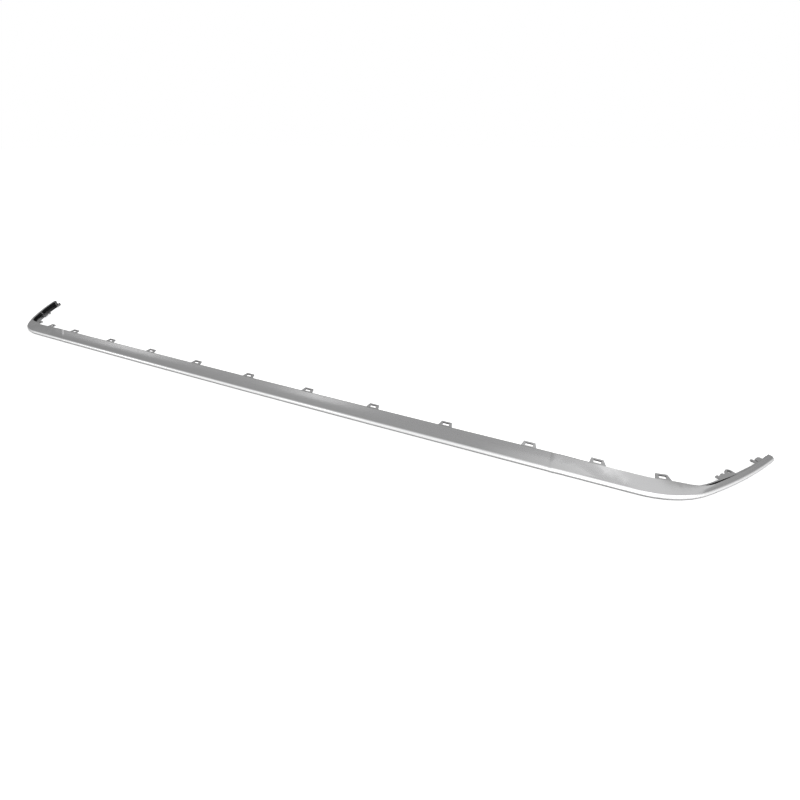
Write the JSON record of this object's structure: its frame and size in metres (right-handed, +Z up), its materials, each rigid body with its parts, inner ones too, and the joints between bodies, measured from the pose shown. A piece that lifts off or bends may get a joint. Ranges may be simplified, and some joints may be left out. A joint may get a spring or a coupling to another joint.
{
  "type": "bumper moulding",
  "caption": "Slim bright trim strip that wraps the front and corners of a car bumper: a thin leaning face over a rounded bead and open channel, with windowed snap tabs and forked brackets.",
  "frame": {"origin": "middle of the flat underside at mid length", "axes": "+X along the strip, to the right as seen from the front; +Y from the front face towards the car; +Z up"},
  "size_m": [1.7646, 0.1762, 0.0331],
  "materials": {
    "plated_plastic": "satin silver plating on moulded plastic"
  },
  "bodies": {
    "root": {"bumper_moulding": "plated_plastic"}
  },
  "joints": []
}
